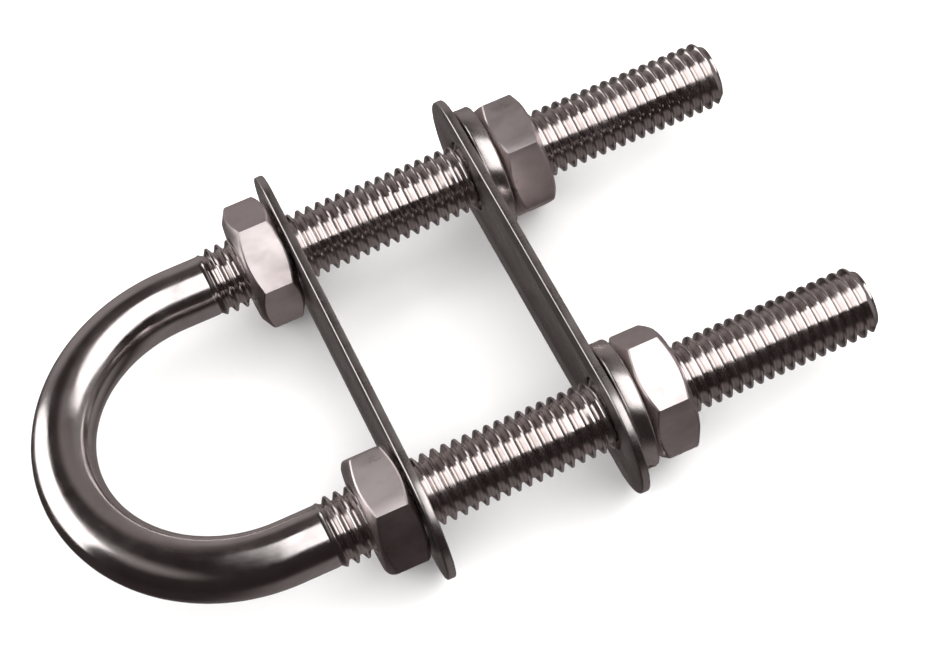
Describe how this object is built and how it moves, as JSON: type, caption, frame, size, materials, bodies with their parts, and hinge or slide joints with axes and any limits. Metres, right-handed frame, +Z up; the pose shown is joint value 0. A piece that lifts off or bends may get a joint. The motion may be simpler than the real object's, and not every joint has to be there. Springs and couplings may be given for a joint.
{
  "type": "pad eye",
  "caption": "Through-bolted U-bolt pad eye: round-bar loop with threaded legs, deck plate and backing plate, clamped by hex nuts over split lock washers.",
  "frame": {"origin": "middle of the footprint, on the surface that the part lies on: it rests on the lower long edges of its two plates, with the loop and legs level", "axes": "+X along the legs, from the loop's crown to the threaded tips (away from the deck's outer side when fitted, so down on a deck); +Y to the left leg; +Z up as it lies, at right angles to the loop"},
  "size_m": [0.09, 0.0564, 0.015],
  "materials": {
    "rod_steel": "polished stainless steel",
    "plate_steel": "polished stainless sheet",
    "nut_steel": "bright turned stainless steel",
    "washer_steel": "bright stainless spring steel"
  },
  "bodies": {
    "u_bolt": {"u_bolt": "rod_steel"},
    "deck_plate": {"deck_plate": "plate_steel"},
    "loop_nut_left": {"loop_nut_left": "nut_steel"},
    "loop_nut_right": {"loop_nut_right": "nut_steel"},
    "backing_plate": {"backing_plate": "plate_steel", "lock_washer_left": "washer_steel", "lock_washer_right": "washer_steel"},
    "end_nut_left": {"end_nut_left": "nut_steel"},
    "end_nut_right": {"end_nut_right": "nut_steel"}
  },
  "joints": [
    {"name": "deck_plate_slide", "type": "slide", "parent": "u_bolt", "child": "deck_plate", "axis": [1, 0, 0], "range_m": [-0.0025, 0.01]},
    {"name": "loop_nut_left_turn", "type": "hinge", "parent": "deck_plate", "child": "loop_nut_left", "pos_m": [-0.0119, 0.0185, 0.0075], "axis": [1, 0, 0], "range_deg": [-720, 2880]},
    {"name": "loop_nut_right_turn", "type": "hinge", "parent": "deck_plate", "child": "loop_nut_right", "pos_m": [-0.0119, -0.0185, 0.0075], "axis": [1, 0, 0], "range_deg": [-720, 2880]},
    {"name": "backing_plate_slide", "type": "slide", "parent": "u_bolt", "child": "backing_plate", "axis": [1, 0, 0], "range_m": [-0.01, 0.032]},
    {"name": "end_nut_left_turn", "type": "hinge", "parent": "backing_plate", "child": "end_nut_left", "pos_m": [0.01955, 0.0185, 0.0075], "axis": [1, 0, 0], "range_deg": [-2880, 9216]},
    {"name": "end_nut_right_turn", "type": "hinge", "parent": "backing_plate", "child": "end_nut_right", "pos_m": [0.01955, -0.0185, 0.0075], "axis": [1, 0, 0], "range_deg": [-2880, 9216]}
  ],
  "couplings": [
    {"joint": "deck_plate_slide", "follows": "loop_nut_left_turn", "m_per_rad": 0.00019894},
    {"joint": "loop_nut_right_turn", "follows": "loop_nut_left_turn", "ratio": 1},
    {"joint": "backing_plate_slide", "follows": "end_nut_left_turn", "m_per_rad": 0.00019894},
    {"joint": "end_nut_right_turn", "follows": "end_nut_left_turn", "ratio": 1}
  ]
}
